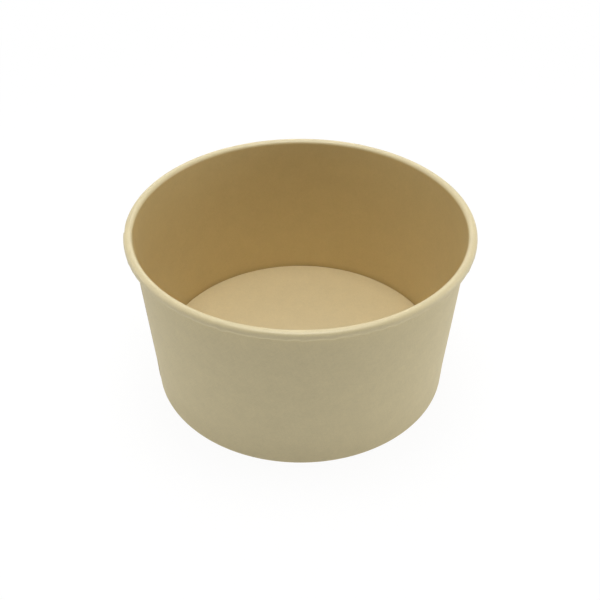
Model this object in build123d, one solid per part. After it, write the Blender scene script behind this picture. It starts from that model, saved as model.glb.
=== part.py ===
from build123d import *
import os
from math import asin, atan2, cos, degrees, radians, sin, tan

# Round paper ice cream tub of two sealed pieces: a sidewall rolled and folded from one paper blank,
# and a pressed paper base. Millimetres, +Z up, origin at the centre of the foot ring, on the
# surface that the tub stands on. Angles are in degrees, and a section is drawn as (radius, height).

# Overall sizes
rim_diameter = 150.0
tub_height = 78.0
foot_diameter = 133.0

# Paper, and the coating that seals two layers of it together
wall_board = 0.45
base_board = 0.40
seal_film = 0.03

# Foot band, where the wall stands steeper round the base and flares out less
band_height = 12.0
band_flare = 0.5

# Bottom hem, creased in and up round the skirt of the base, to a little under the base's bend
hem_clearance = 0.3

# Rim curl, rolled outward from the top of the wall
curl_width = 4.0
curl_gap = 0.35

# Side seam: the wall swings out from the round, up to the edge that it laps over, and on outside it
seam_direction = 186.0
swing_width = 6.0
lap_width = 8.0
lap_rise = 0.24
seam_foot_height = 1.0
seam_margin = 0.5

# Base, with a turned-down skirt that ends a little above the fold of the hem
base_height = 6.8
base_bend_radius = 0.9
skirt_clearance = 0.45

# Foot band lines, on the face of the paper that looks at the ice cream
rim_radius = rim_diameter / 2
foot_radius = foot_diameter / 2
band_lean = degrees(atan2(band_flare, band_height))
lean_cos = cos(radians(band_lean))
lean_sin = sin(radians(band_lean))
lean_tan = tan(radians(band_lean))
hem_slot = base_board + 2 * seal_film
wall_foot_radius = foot_radius - wall_board / lean_cos
skirt_foot_radius = wall_foot_radius - seal_film / lean_cos
hem_foot_radius = wall_foot_radius - hem_slot / lean_cos
hem_height = base_height - base_bend_radius - hem_clearance
skirt_length = base_height - wall_board - skirt_clearance

# Wall line, from the knee above the band to where the curl starts
curl_radius = curl_width / 2
curl_centre = Vector(rim_radius - curl_radius, tub_height - curl_radius)
curl_turn = 270 + degrees(asin((curl_radius - wall_board - curl_gap) / curl_radius))
knee = Vector(wall_foot_radius + band_height * lean_tan, band_height)
knee_to_curl = curl_centre - knee
wall_lean = degrees(atan2(knee_to_curl.X, knee_to_curl.Y) - asin(curl_radius / knee_to_curl.length))
wall_cos = cos(radians(wall_lean))
wall_tan = tan(radians(wall_lean))
wall_run = (knee_to_curl.length**2 - curl_radius**2) ** 0.5
curl_start = curl_centre - Vector(curl_radius, 0).rotate(Axis.Z, -wall_lean)
knee_turn = wall_lean - band_lean
knee_reach = wall_board * abs(tan(radians(knee_turn) / 2))

# Seam limits, under the start of the curl
seam_radius = (rim_radius + foot_radius) / 2
swing_angle = degrees(swing_width / seam_radius)
lap_angle = degrees(lap_width / seam_radius)
seam_top_height = curl_start.Y - seam_margin


def paper_section(start, heading, moves, board):
    """Section of a folded strip of paper: one face is walked by the moves, and the board lies on its right.

    A move is (length, 0) for a straight run, or (radius, turn) for a bend, where a left turn is positive.
    A radius of 0 on either face is a crease.
    """
    place = start
    walked = []
    backed = []
    for size, turn in moves:
        right = Vector(1, 0).rotate(Axis.Z, heading - 90)
        if turn == 0:
            end = place + Vector(1, 0).rotate(Axis.Z, heading) * size
            walked.append(Line(place, end))
            backed.append(Line(place + right * board, end + right * board))
        else:
            side = turn / abs(turn)
            centre = place - right * (side * size)
            for face, radius in ((walked, size), (backed, size + side * board)):
                if radius > 0:
                    face.append(CenterArc(centre, radius, heading - side * 90, turn))
            heading += turn
            end = centre + right.rotate(Axis.Z, turn) * (side * size)
        place = end
    ends = [Line(walked[0] @ 0, backed[0] @ 0), Line(walked[-1] @ 1, backed[-1] @ 1)]
    return make_face(Curve() + walked + backed + ends)


def ring(section, angle=360.0, begins=0.0):
    """The section turned about the tub's axis, from the direction where it begins."""
    return Rot(0, 0, begins) * revolve(Plane.XZ * section, Axis.Z, angle)


def blank_section():
    """The whole blank: hem, creased fold round the skirt, foot band, knee, wall, and the curl."""
    start = Vector(hem_foot_radius + hem_height * lean_tan, hem_height)
    moves = [
        ((hem_height - wall_board) / lean_cos, 0),
        (0, 90 + band_lean),
        (hem_slot / lean_cos, 0),
        (0, 90 - band_lean),
        ((band_height - wall_board) / lean_cos - knee_reach, 0),
        (wall_board, -knee_turn),
        (wall_run - knee_reach, 0),
        (curl_radius, -curl_turn),
    ]
    return paper_section(start, -90 - band_lean, moves, wall_board)


def seam_window():
    """Reach of the seam: a strip along the wall, clear of the hem inside and of the curl's edge outside."""
    foot = Vector(wall_foot_radius + seam_foot_height * lean_tan, seam_foot_height)
    top = Vector(curl_start.X - seam_margin * wall_tan, seam_top_height)
    inward = Vector(-hem_slot / 2, 0)
    outward = Vector(wall_board / wall_cos + curl_gap / 2, 0)
    inside = [place + inward for place in (foot, knee, top)]
    outside = [place + outward for place in (top, knee, foot)]
    return make_face(Polyline(*inside, *outside, close=True))


def make_sidewall():
    """The rolled blank, whose wall swings out from the round before the seam, and laps over its own edge."""
    blank = blank_section()
    wall = blank & seam_window()
    lap = wall + Pos(lap_rise, 0) * wall
    swing_start = seam_direction - swing_angle
    pivot = Vector(lap_rise / (2 * sin(radians(swing_angle / 2))), 0).rotate(Axis.Z, 90 + swing_angle / 2)
    pivot_axis = Axis((pivot.X, pivot.Y, 0), (0, 0, 1))
    return (
        ring(blank)
        - ring(seam_window(), swing_angle + lap_angle, swing_start)
        + Rot(0, 0, swing_start) * revolve(Plane.XZ * wall, pivot_axis, swing_angle)
        + ring(lap, lap_angle, seam_direction)
    )


def make_base():
    """The base: a flat disc whose edge bends down into a skirt that lies against the foot band."""
    bend_foot = base_height - base_bend_radius * (1 + lean_sin)
    bend_start = skirt_foot_radius + bend_foot * lean_tan - base_bend_radius * lean_cos
    moves = [
        (bend_start, 0),
        (base_bend_radius, -90 - band_lean),
        ((bend_foot - base_height + skirt_length) / lean_cos, 0),
    ]
    return ring(paper_section(Vector(0, base_height), 0, moves, base_board))


os.makedirs("parts", exist_ok=True)
export_step(make_sidewall(), "parts/sidewall.step")
export_step(make_base(), "parts/base_disc.step")
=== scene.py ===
from math import asin, atan2, cos, hypot, pi, radians, sin, tan

import bpy
import numpy as np
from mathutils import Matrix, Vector


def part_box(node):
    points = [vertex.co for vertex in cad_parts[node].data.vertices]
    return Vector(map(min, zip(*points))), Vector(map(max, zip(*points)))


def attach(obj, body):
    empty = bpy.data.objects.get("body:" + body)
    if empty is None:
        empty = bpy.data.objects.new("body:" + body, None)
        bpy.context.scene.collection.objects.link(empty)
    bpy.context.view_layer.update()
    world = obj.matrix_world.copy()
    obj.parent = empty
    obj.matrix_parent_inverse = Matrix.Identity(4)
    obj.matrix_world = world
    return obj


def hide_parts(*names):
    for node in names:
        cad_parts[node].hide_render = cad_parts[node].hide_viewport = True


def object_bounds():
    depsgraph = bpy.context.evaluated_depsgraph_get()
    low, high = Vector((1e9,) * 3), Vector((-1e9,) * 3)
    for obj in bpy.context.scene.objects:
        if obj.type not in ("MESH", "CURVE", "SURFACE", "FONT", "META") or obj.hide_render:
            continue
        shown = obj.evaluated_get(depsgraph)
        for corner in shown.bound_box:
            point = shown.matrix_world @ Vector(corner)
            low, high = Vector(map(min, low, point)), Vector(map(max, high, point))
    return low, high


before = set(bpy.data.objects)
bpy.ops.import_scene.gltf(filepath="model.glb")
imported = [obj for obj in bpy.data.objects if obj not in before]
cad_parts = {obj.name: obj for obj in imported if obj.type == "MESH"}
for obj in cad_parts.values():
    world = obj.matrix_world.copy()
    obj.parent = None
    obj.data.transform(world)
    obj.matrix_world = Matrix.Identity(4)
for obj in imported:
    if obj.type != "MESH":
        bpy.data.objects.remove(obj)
cad_low, cad_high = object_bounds()
MM = 0.001

# Sizes of the two papers, in metres. A section is drawn as (radius, height).
wall_low, wall_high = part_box("sidewall")
base_low, base_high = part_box("base_disc")
RIM_RADIUS = (wall_high.x - wall_low.x) / 2
TUB_HEIGHT = wall_high.z
FOOT_RADIUS = 66.5 * MM
WALL_BOARD = 0.45 * MM
BASE_BOARD = 0.40 * MM
SEAL_FILM = 0.03 * MM
BAND_HEIGHT = 12.0 * MM
BAND_FLARE = 0.5 * MM
BAND_LEAN = atan2(BAND_FLARE, BAND_HEIGHT)
KNEE_RADIUS = 2 * WALL_BOARD
HEM_HEIGHT = 5.6 * MM
BASE_BEND = 0.9 * MM
CREASE = 0.06 * MM

# Curl of the rim: a power over 2 squares its section, and over the onset the paper leaves the wall
CURL_RADIUS = 2.0 * MM
CURL_POWER = 2.3
CURL_GAP = 0.35 * MM
CURL_ONSET = radians(60.0)

# Side seam: the wall swings out from the round, up to the cut edge that it laps over, and on outside it.
# The rim dips before that edge, and after it the lap stands out on the rim for a share of its own width.
SEAM_DIRECTION = radians(186.0)
LAP_RISE = 0.24 * MM
LAP_FADE = 1.0 * MM
RIM_LAP_RISE = 0.08 * MM
RIM_LAP_SHARE = 0.5
RIM_LAP_DIP = 0.28 * MM
SWING_COLUMNS = 10
DIP_COLUMNS = 14
LAP_COLUMNS = 13
STEP_WIDTH = 0.02 * MM

# Mesh fineness
WALL_COLUMNS = 720
WALL_PITCH = 2 * pi / WALL_COLUMNS
LAP_TURN = LAP_COLUMNS * WALL_PITCH
STEP_TURN = STEP_WIDTH / RIM_RADIUS
BASE_COLUMNS = 360
HEM_STEP = 0.7 * MM
BAND_STEP = 2.3 * MM
RUN_STEP = 8.0 * MM
BEND_STEPS = 5
CURL_STEPS = 30
SHARP_ANGLE = radians(40.0)

# Unevenness of rolled paper: how deep each wave is, and its seed, fewest and most waves round the tub
WALL_WAVE_DEPTH = 0.05 * MM
WALL_WAVES = (3, 3, 12)
DRIFT_DEPTH = 0.08 * MM
DRIFT_WAVES = (5, 2, 7)
LUMP_DEPTH = 0.05 * MM
LUMP_WAVES = (11, 20, 90)
WRINKLE_DEPTH = 0.40 * MM
WRINKLE_WAVES = (13, 40, 110)
BASE_WAVE_DEPTH = 0.10 * MM
BASE_WAVES = (17, 2, 5)
BASE_FREE_SHARE = 0.75

# Knurl that presses the hem onto the skirt
KNURL_RIDGES = 180
KNURL_DEPTH = 0.08 * MM
KNURL_FOOT = 1.0 * MM
KNURL_MARGIN = 0.4 * MM
KNURL_FADE = 0.8 * MM

# Paper: the coated face that looks at the ice cream and turns over the curl, and the bare face outside
# The wall's coated colour is darker and deeper than the base's, as painted shade
WALL_COLOUR_WITH_PAINTED_SHADE = (0.66, 0.515, 0.25, 1.0)
BASE_COLOUR = (0.663, 0.55, 0.32, 1.0)
BARE_COLOUR = (0.66, 0.565, 0.33, 1.0)
# The curl's colour is lighter than the coated face's, as a painted highlight on its top
CURL_PAINTED_HIGHLIGHT_COLOUR = (0.71, 0.605, 0.352, 1.0)
COATED_ROUGHNESS = 0.38
BARE_ROUGHNESS = 0.65
PAPER_SHINE = 0.55
# Under the curl, from this turn and over this fade, the painted highlight gives way to the bare colour, and
# the paper turns as rough as the bare face
PAINTED_HIGHLIGHT_END = radians(165.0)
PAINTED_HIGHLIGHT_FADE = radians(40.0)

# Painted shade: the wall is darkened next to the base, where the base's edge shades it, and along the outer
# cut edge of the lap, where its step casts a thin shadow
PAINTED_SHADE_TONE = 0.89
PAINTED_SHADE_RISE = 2.5 * MM

# Clouds and fibres of the pulp, on a paper measured in millimetres
CLOUD_SCALE = 0.12
CLOUD_DETAIL = 4.0
CLOUD_RANGE = (0.3, 0.7)
CLOUD_TONES = (0.98, 1.02)
FIBRE_HEADINGS = (12.0, 74.0, 131.0)
FIBRE_SCALE = (0.35, 3.2, 1.0)
FIBRE_DETAIL = 2.0
FIBRE_RANGE = (1.1, 1.9)
FIBRE_TONES = (0.955, 1.045)
FIBRE_BUMP = 0.3
FIBRE_RELIEF = 0.03 * MM

# Camera, lights and floor. A light has a name, a place and a size in metres, and a power in watts.
CAMERA_ELEVATION = radians(38.12)
CAMERA_DISTANCE = 413.6 * MM
CAMERA_AIM = Vector((-0.2 * MM, 0.0, 35.2 * MM))
CAMERA_LENS = 54.51
CAMERA_SENSOR = 36.0
CAMERA_CLIP = 10.0 * MM
LIGHT_AIM = Vector((0.0, 0.0, 40.0 * MM))
LIGHTS = (
    ("overhead", (0.0, -0.05, 1.0), 0.6, 5.2),
    ("overhead_back", (0.0, 0.35, 1.1), 1.0, 3.0),
    ("left", (-0.95, 0.2, 0.5), 0.8, 1.9),
    ("right", (0.95, 0.2, 0.5), 0.8, 1.5),
    ("right_low", (1.0, 0.0, 0.1), 0.5, 1.6),
    ("back", (0.0, 1.1, 0.6), 0.8, 1.9),
    ("below", (0.3, -0.5, -0.8), 0.8, 5.0),
)
WHITE = (1.0, 1.0, 1.0, 1.0)
WORLD_LIGHT = 0.07
FLOOR_SIZE = 3.0
FLOOR_HOLE = 64.0 * MM
FLOOR_DROP = 0.01 * MM
FLOOR_SIDES = 64
FLOOR_COLOUR = (0.5, 0.5, 0.5, 1.0)
FLOOR_GLOW = 0.6
FLOOR_WHITE = 0.82
FLOOR_FADE = (0.12, 0.45)


def unit(vector):
    return vector / np.linalg.norm(vector)


def right_of(direction):
    return np.array((direction[1], -direction[0]))


def turned_by(vector, angle):
    across, up = vector
    return np.array((across * cos(angle) - up * sin(angle), across * sin(angle) + up * cos(angle)))


def on_band(radius, height):
    """The place at that height on a line that leans as the foot band does, from that radius on the floor."""
    return np.array((radius + height * tan(BAND_LEAN), height))


def walked_path(corners, radii, steps):
    """Places along a path that rounds its corners, and at each the direction to the right of the walk."""
    places, rights = [], []
    start = corners[0]
    legs = zip(corners, corners[1:], corners[2:] + [None], radii + [0.0], steps)
    for before, corner, after, radius, step in legs:
        ahead = unit(corner - before)
        reach = 0.0
        if after is not None:
            turned = unit(after - corner)
            turn = atan2(ahead[0] * turned[1] - ahead[1] * turned[0], ahead @ turned)
            reach = radius * tan(abs(turn) / 2)
        end = corner - ahead * reach
        runs = max(1, round(np.linalg.norm(end - start) / step))
        for share in np.linspace(0, 1, runs + 1):
            places.append(start + (end - start) * share)
            rights.append(right_of(ahead))
        if after is not None:
            side = np.sign(turn)
            centre = end - right_of(ahead) * radius * side
            for share in np.linspace(0, 1, BEND_STEPS + 1)[1:-1]:
                right = turned_by(right_of(ahead), turn * share)
                places.append(centre + right * radius * side)
                rights.append(right)
            start = corner + turned * reach
    return places, rights


def lengths_along(places):
    return np.concatenate(([0.0], np.cumsum(np.linalg.norm(np.diff(places, axis=0), axis=1))))


def wander(angle, seed, fewest, most):
    """A smooth closed wave round the tub between -1 and 1, made of the waves from the fewest to the most."""
    phases = np.random.default_rng(seed).uniform(0, 2 * pi, most + 1)
    wave = sum(np.cos(n * angle + phases[n]) / n**0.5 for n in range(fewest, most + 1))
    return wave / np.abs(wave).max()


def ease(share):
    share = np.clip(share, 0, 1)
    return share * share * (3 - 2 * share)


def swept(section, angles):
    """Points of the sections, one row for each angle, at those angles round the tub."""
    across, up = section[..., 0], section[..., 1]
    return np.stack((across * np.cos(angles)[:, None], across * np.sin(angles)[:, None], up), axis=-1)


def closed_mesh(name, points, faces, place, bare_and_lit_curl, coat_and_curl_highlight, painted_shade):
    """A mesh object whose points carry their place on the paper, in millimetres, its state there, and its
    painted light and shade.
    """
    mesh = bpy.data.meshes.new(name)
    mesh.from_pydata(points.reshape(-1, 3).tolist(), [], faces)
    on_paper = mesh.attributes.new("paper_place", "FLOAT_VECTOR", "POINT")
    on_paper.data.foreach_set("vector", (place / MM).ravel())
    for kind, share in (("paper_bare_and_lit_curl", bare_and_lit_curl), ("paper_coat_and_curl_highlight", coat_and_curl_highlight), ("paper_painted_shade", painted_shade)):
        mesh.attributes.new(kind, "FLOAT", "POINT").data.foreach_set("value", share.ravel())
    mesh.shade_smooth()
    mesh.set_sharp_from_angle(angle=SHARP_ANGLE)
    piece = bpy.data.objects.new(name, mesh)
    bpy.context.scene.collection.objects.link(piece)
    return piece


def ring_faces(columns, rows, closed_rows):
    """Quads of a grid of points that goes round the tub, and round its section too where that is closed."""
    last = rows if closed_rows else rows - 1
    faces = []
    for column in range(columns):
        here, there = column * rows, (column + 1) % columns * rows
        for row in range(last):
            above = (row + 1) % rows
            faces.append((here + row, here + above, there + above, there + row))
    return faces


def wall_path():
    """The sidewall's face that looks at the ice cream, from the hem's free edge to the curl's raw edge.

    Gives its places, at each the direction into the paper, and how far the curl has turned there.
    """
    wall_foot = FOOT_RADIUS - WALL_BOARD / cos(BAND_LEAN)
    hem_foot = wall_foot - (BASE_BOARD + 2 * SEAL_FILM) / cos(BAND_LEAN)
    knee = on_band(wall_foot, BAND_HEIGHT)
    curl_centre = np.array((RIM_RADIUS - CURL_RADIUS, TUB_HEIGHT - CURL_RADIUS))
    to_curl = curl_centre - knee
    wall_lean = atan2(to_curl[0], to_curl[1]) - asin(CURL_RADIUS / hypot(*to_curl))
    right = np.array((cos(wall_lean), -sin(wall_lean)))
    fold = [on_band(hem_foot, HEM_HEIGHT), on_band(hem_foot, WALL_BOARD), on_band(wall_foot, WALL_BOARD)]
    corners = fold + [knee, curl_centre - right * CURL_RADIUS]
    radii = [CREASE, CREASE, KNEE_RADIUS]
    steps = [HEM_STEP, RUN_STEP, BAND_STEP, RUN_STEP]
    places, rights = walked_path(corners, radii, steps)

    # The curl goes on past its lowest place, until its raw edge is about the gap away from the lap
    curl_turn = 1.5 * pi + asin((CURL_RADIUS - WALL_BOARD - LAP_RISE - CURL_GAP) / CURL_RADIUS)
    curled = [0.0] * len(places)
    for share in np.linspace(0, 1, CURL_STEPS + 1)[1:]:
        right_now = turned_by(right, -curl_turn * share)
        back = np.sign(right_now) * np.abs(right_now) ** (1 / (CURL_POWER - 1))
        length = (np.abs(back) ** CURL_POWER).sum() ** (1 / CURL_POWER)
        places.append(curl_centre - back * CURL_RADIUS / length)
        rights.append(right_now)
        curled.append(curl_turn * share)
    return np.array(places), np.array(rights), np.array(curled)


def on_lap(turns):
    """Where the outer paper lies over the inner one, by the turn from the inner paper's cut edge."""
    return turns < LAP_TURN + STEP_TURN / 2


def on_curl(curled):
    """How much the paper has left the wall for the curl, from 0 to 1."""
    return ease(curled / CURL_ONSET)


def wall_faces(places, rights, curled, turns):
    """Both faces of the wall at each turn, with the seam, the knurl and the unevenness of rolled paper."""
    angles = SEAM_DIRECTION + turns
    heights = places[:, 1]
    on_hem = np.arange(len(places)) < np.argmax(heights < WALL_BOARD + CREASE) + BEND_STEPS

    # The lap stands out on the wall and in on the hem, and fades at the fold
    to_seam = 2 * pi - turns
    swing = LAP_RISE * ease(1 - to_seam / (SWING_COLUMNS * WALL_PITCH))
    lapped = np.where(on_lap(turns), LAP_RISE, swing)
    lap_share = np.clip((heights - WALL_BOARD) / LAP_FADE, 0, 1)
    lap_share = lap_share * np.where(on_hem, -1, 1 - on_curl(curled))

    # The rim sinks by its lumps and beside the lap, and the wrinkles are under the curl
    lumps = LUMP_DEPTH * (1 - wander(angles, *LUMP_WAVES)) / 2
    dipped = ease(1 - to_seam / (DIP_COLUMNS * WALL_PITCH))
    lap_sunk = RIM_LAP_RISE * ease(turns / LAP_TURN - RIM_LAP_SHARE) + RIM_LAP_DIP * dipped
    wrinkles = WRINKLE_DEPTH * wander(angles, *WRINKLE_WAVES)
    under_curl = np.sin(np.clip((curled - pi) / (curled[-1] - pi), 0, 1) * pi)
    sunk = (lumps + lap_sunk)[:, None] * on_curl(curled) + wrinkles[:, None] * under_curl

    # The wall waves most at half its height, and drifts in most at the rim
    up = heights / TUB_HEIGHT
    waves = wander(angles, *WALL_WAVES)[:, None] * WALL_WAVE_DEPTH * np.sin(np.clip(up, 0, 1) * pi)
    drift = (1 + wander(angles, *DRIFT_WAVES)[:, None]) / 2 * DRIFT_DEPTH * up**2
    knurl_top = HEM_HEIGHT - KNURL_MARGIN
    reach = ease((heights - KNURL_FOOT) / KNURL_FADE) * ease((knurl_top - heights) / KNURL_FADE)
    knurl = KNURL_DEPTH * (1 + np.cos(KNURL_RIDGES * turns)[:, None]) / 2 * np.where(on_hem, reach, 0)

    inner = np.tile(places, (len(turns), 1, 1)) + sunk[..., None] * rights
    outer = inner + rights * WALL_BOARD
    inner[..., 0] += waves - drift + swing[:, None] * lap_share
    outer[..., 0] += waves - drift + lapped[:, None] * lap_share + knurl
    return inner, outer


def make_sidewall():
    places, rights, curled = wall_path()

    # Columns, from the cut edge of the inner paper round to where the outer paper meets it
    turns = np.sort(np.append(np.arange(WALL_COLUMNS + 1) * WALL_PITCH, LAP_TURN + STEP_TURN))
    turns[-1] -= STEP_TURN
    inner, outer = wall_faces(places, rights, curled, turns)
    points = swept(np.concatenate((inner, outer[:, ::-1]), axis=1), SEAM_DIRECTION + turns)
    columns, rows = len(turns), len(places)
    faces = ring_faces(columns, 2 * rows, True)

    # Places on the blank, whose outer end lies over its inner one
    place = np.zeros_like(points)
    place[:, :rows, 0] = turns[:, None] * FOOT_RADIUS
    place[:, rows:, 0] = np.where(on_lap(turns), turns + 2 * pi, turns)[:, None] * FOOT_RADIUS
    along = lengths_along(places)
    place[..., 1] = np.concatenate((along, along[::-1]))
    place[:, rows:, 2] = FOOT_RADIUS

    # The curl counts as both bare and coated, which gives it the painted highlight colour, up to where that
    # highlight and the coat's smoothness fade out under the curl
    bare_and_lit_curl = np.tile(np.concatenate((on_curl(curled), np.ones(rows))), (columns, 1))
    painted_highlight_gone = ease((curled - PAINTED_HIGHLIGHT_END) / PAINTED_HIGHLIGHT_FADE)
    coat_and_curl_highlight = np.tile(np.concatenate((1 - painted_highlight_gone, np.zeros(rows))), (columns, 1))
    # Painted shade: darker on the inner face within the rise above the base, and on the outer face along the
    # lap's cut edge
    painted_shade = np.zeros_like(bare_and_lit_curl)
    painted_shade[:, :rows] = 1 - np.clip((places[:, 1] - base_high.z) / PAINTED_SHADE_RISE, 0, 1)
    painted_shade[np.abs(turns - LAP_TURN) < WALL_PITCH / 2, rows:] = 1
    return closed_mesh("tub_sidewall", points, faces, place, bare_and_lit_curl, coat_and_curl_highlight, painted_shade)


def make_base():
    skirt_foot = FOOT_RADIUS - (WALL_BOARD + SEAL_FILM) / cos(BAND_LEAN)
    top = base_high.z
    corners = [np.array((0.0, top)), on_band(skirt_foot, top), on_band(skirt_foot, base_low.z)]
    places, rights = map(np.array, walked_path(corners, [BASE_BEND], [RUN_STEP] * 2))
    under = places + rights * BASE_BOARD
    section = np.concatenate((places[1:], under[:0:-1]))
    angles = np.arange(BASE_COLUMNS) * 2 * pi / BASE_COLUMNS
    columns, rows = len(angles), len(section)
    points = swept(np.tile(section, (columns, 1, 1)), angles)

    # The waves grow from the middle, and fade from the free share of the radius out to the seal
    out = section[:, 0] / skirt_foot
    free = out * (1 - ease((out - BASE_FREE_SHARE) / (1 - BASE_FREE_SHARE)))
    points[..., 2] -= BASE_WAVE_DEPTH * (1 - wander(angles, *BASE_WAVES)[:, None]) / 2 * free

    # A pole closes each face in the middle
    points = np.concatenate((points.reshape(-1, 3), ((0, 0, top), (0, 0, top - BASE_BOARD))))
    faces = ring_faces(columns, rows, False)
    top_pole, under_pole = columns * rows, columns * rows + 1
    for column in range(columns):
        here, there = column * rows, (column + 1) % columns * rows
        faces.append((top_pole, here, there))
        faces.append((under_pole, there + rows - 1, here + rows - 1))
    bare_and_lit_curl = np.append(np.tile(np.repeat((0.0, 1.0), rows // 2), columns), (0.0, 1.0))
    return closed_mesh("tub_base", points, faces, points, bare_and_lit_curl, 1 - bare_and_lit_curl, np.zeros_like(bare_and_lit_curl))


def add(tree, kind, inputs=(), **settings):
    """A node of that kind, with its settings, and with its inputs linked or set."""
    made = tree.nodes.new(kind)
    for name, value in settings.items():
        setattr(made, name, value)
    for socket, value in dict(inputs).items():
        if isinstance(value, bpy.types.NodeSocket):
            tree.links.new(value, made.inputs[socket])
        else:
            made.inputs[socket].default_value = value
    return made


def new_tree(owner):
    owner.use_nodes = True
    owner.node_tree.nodes.clear()
    return owner.node_tree


def maths(tree, first, second, operation="ADD"):
    return add(tree, "ShaderNodeMath", {0: first, 1: second}, operation=operation).outputs[0]


def ranged(tree, value, low, high, to):
    ends = {"Value": value, "From Min": low, "From Max": high, "To Min": to[0], "To Max": to[1]}
    return add(tree, "ShaderNodeMapRange", ends).outputs[0]


def painted(tree, name, output="Fac"):
    return add(tree, "ShaderNodeAttribute", attribute_name=name).outputs[output]


def noise(tree, place, scale, detail):
    return add(tree, "ShaderNodeTexNoise", {"Vector": place, "Scale": scale, "Detail": detail}).outputs["Fac"]


def blended(tree, share, first, second):
    blend = {"Factor": share, "A": first, "B": second}
    return add(tree, "ShaderNodeMix", blend, data_type="RGBA").outputs["Result"]


def either(tree, share, first, second):
    return add(tree, "ShaderNodeMixShader", {0: share, 1: first.outputs[0], 2: second.outputs[0]})


def fibre_height(tree, place):
    """The sum of one layer of drawn-out fibres for each heading."""
    layers = []
    for heading in FIBRE_HEADINGS:
        turn = {"Vector": place, "Angle": radians(heading)}
        turned = add(tree, "ShaderNodeVectorRotate", turn, rotation_type="Z_AXIS").outputs[0]
        drawn = add(tree, "ShaderNodeMapping", {"Vector": turned, "Scale": FIBRE_SCALE}).outputs[0]
        layers.append(noise(tree, drawn, 1.0, FIBRE_DETAIL))
    return maths(tree, maths(tree, layers[0], layers[1]), layers[2])


def paper_material(name, coated_colour):
    """Unbleached paper: clouded pulp, crossing fibres a few millimetres long, and a smoother coated face."""
    material = bpy.data.materials.new(name)
    tree = new_tree(material)
    place = painted(tree, "paper_place", "Vector")
    bare_and_lit_curl = painted(tree, "paper_bare_and_lit_curl")
    coat_and_curl_highlight = painted(tree, "paper_coat_and_curl_highlight")
    painted_shade = painted(tree, "paper_painted_shade")
    clouds = noise(tree, place, CLOUD_SCALE, CLOUD_DETAIL)
    fibres = fibre_height(tree, place)
    fibre_tone = ranged(tree, fibres, *FIBRE_RANGE, FIBRE_TONES)
    cloud_tone = ranged(tree, clouds, *CLOUD_RANGE, CLOUD_TONES)
    tone = maths(tree, fibre_tone, cloud_tone, "MULTIPLY")
    # Painted shade: the tone darkens near the base and along the lap's cut edge
    tone = maths(tree, tone, ranged(tree, painted_shade, 0.0, 1.0, (1.0, PAINTED_SHADE_TONE)), "MULTIPLY")
    # The coated colour carries painted shade in the wall; where the curl counts as bare and coated, the
    # colour is the painted highlight
    colour = blended(tree, bare_and_lit_curl, coated_colour, BARE_COLOUR)
    colour = blended(tree, maths(tree, bare_and_lit_curl, coat_and_curl_highlight, "MULTIPLY"), colour, CURL_PAINTED_HIGHLIGHT_COLOUR)
    toned = add(tree, "ShaderNodeHueSaturation", {"Color": colour, "Value": tone}).outputs[0]
    bump = {"Height": fibres, "Strength": FIBRE_BUMP, "Distance": FIBRE_RELIEF}
    shader = add(tree, "ShaderNodeBsdfPrincipled", {
        "Base Color": toned,
        "Roughness": ranged(tree, coat_and_curl_highlight, 0.0, 1.0, (BARE_ROUGHNESS, COATED_ROUGHNESS)),
        "Specular IOR Level": PAPER_SHINE,
        "Normal": add(tree, "ShaderNodeBump", bump).outputs[0],
    })
    add(tree, "ShaderNodeOutputMaterial", {"Surface": shader.outputs[0]})
    return material


def seen_directly(tree):
    """1 for rays from the camera, and for those that a gloss or glass shows it."""
    path = add(tree, "ShaderNodeLightPath").outputs
    shown = maths(tree, path["Is Camera Ray"], path["Is Glossy Ray"], "MAXIMUM")
    return maths(tree, shown, path["Is Transmission Ray"], "MAXIMUM")


def make_world():
    world = bpy.data.worlds.new("studio")
    bpy.context.scene.world = world
    tree = new_tree(world)
    soft = add(tree, "ShaderNodeBackground", {"Color": WHITE, "Strength": WORLD_LIGHT})
    white = add(tree, "ShaderNodeBackground", {"Color": WHITE, "Strength": 1.0})
    both = either(tree, seen_directly(tree), soft, white)
    add(tree, "ShaderNodeOutputWorld", {"Surface": both.outputs[0]})


def floor_material():
    """White that glows a little, so the shadow is pale. It fades to plain white, and is clear from below."""
    material = bpy.data.materials.new("floor_white")
    tree = new_tree(material)
    matte = add(tree, "ShaderNodeBsdfDiffuse", {"Color": FLOOR_COLOUR})
    glow = add(tree, "ShaderNodeEmission", {"Strength": FLOOR_GLOW})
    lit = add(tree, "ShaderNodeAddShader", {0: matte.outputs[0], 1: glow.outputs[0]})
    white = add(tree, "ShaderNodeEmission", {"Strength": 1.0})
    spot = add(tree, "ShaderNodeNewGeometry").outputs
    away = add(tree, "ShaderNodeVectorMath", {0: spot["Position"]}, operation="LENGTH").outputs["Value"]
    share = maths(tree, seen_directly(tree), ranged(tree, away, *FLOOR_FADE, (FLOOR_WHITE, 1.0)), "MULTIPLY")
    shown = either(tree, share, lit, white)
    clear = add(tree, "ShaderNodeBsdfTransparent")
    surface = either(tree, spot["Backfacing"], shown, clear)
    add(tree, "ShaderNodeOutputMaterial", {"Surface": surface.outputs[0]})
    return material


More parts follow.
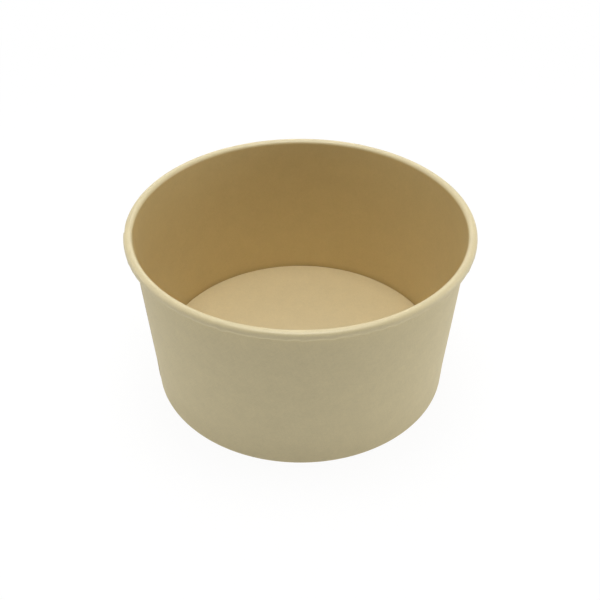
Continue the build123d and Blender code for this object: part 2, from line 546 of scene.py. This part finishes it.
def make_floor():
    """A square floor that is open inside the foot ring, so that the underside can be seen."""
    rounds = [2 * pi * (k + 0.5) / FLOOR_SIDES for k in range(FLOOR_SIDES)]
    around = [Vector((cos(turn), sin(turn), 0.0)) for turn in rounds]
    inner = [way * FLOOR_HOLE for way in around]
    outer = [way * FLOOR_SIZE / 2 / max(abs(way.x), abs(way.y)) for way in around]
    nexts = [(k + 1) % FLOOR_SIDES for k in range(FLOOR_SIDES)]
    faces = [(k, FLOOR_SIDES + k, FLOOR_SIDES + after, after) for k, after in enumerate(nexts)]
    mesh = bpy.data.meshes.new("floor")
    mesh.from_pydata(inner + outer, [], faces)
    mesh.materials.append(floor_material())
    floor = bpy.data.objects.new("floor", mesh)
    floor.location.z = cad_low.z - FLOOR_DROP
    bpy.context.scene.collection.objects.link(floor)


def make_light(name, place, size, power):
    lamp = bpy.data.lights.new(name, "AREA")
    lamp.shape = "DISK"
    lamp.size = size
    lamp.energy = power
    light = bpy.data.objects.new(name, lamp)
    light.location = place
    light.rotation_euler = (LIGHT_AIM - light.location).to_track_quat("-Z", "Y").to_euler()
    bpy.context.scene.collection.objects.link(light)


def make_camera():
    camera = bpy.data.objects.new("camera", bpy.data.cameras.new("camera"))
    back = Vector((0, -cos(CAMERA_ELEVATION), sin(CAMERA_ELEVATION)))
    camera.location = CAMERA_AIM + back * CAMERA_DISTANCE
    camera.rotation_euler = (-back).to_track_quat("-Z", "Y").to_euler()
    camera.data.sensor_width = CAMERA_SENSOR
    camera.data.lens = CAMERA_LENS
    camera.data.clip_start = CAMERA_CLIP
    bpy.context.scene.collection.objects.link(camera)
    bpy.context.scene.camera = camera


for node, slot, make, colour in (
    ("sidewall", "wall_paper", make_sidewall, WALL_COLOUR_WITH_PAINTED_SHADE),
    ("base_disc", "base_paper", make_base, BASE_COLOUR),
):
    piece = make()
    piece.data.materials.append(paper_material(slot, colour))
    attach(piece, "root")
    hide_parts(node)

make_world()
make_floor()
for light in LIGHTS:
    make_light(*light)
make_camera()
bpy.context.scene.view_settings.view_transform = "Standard"
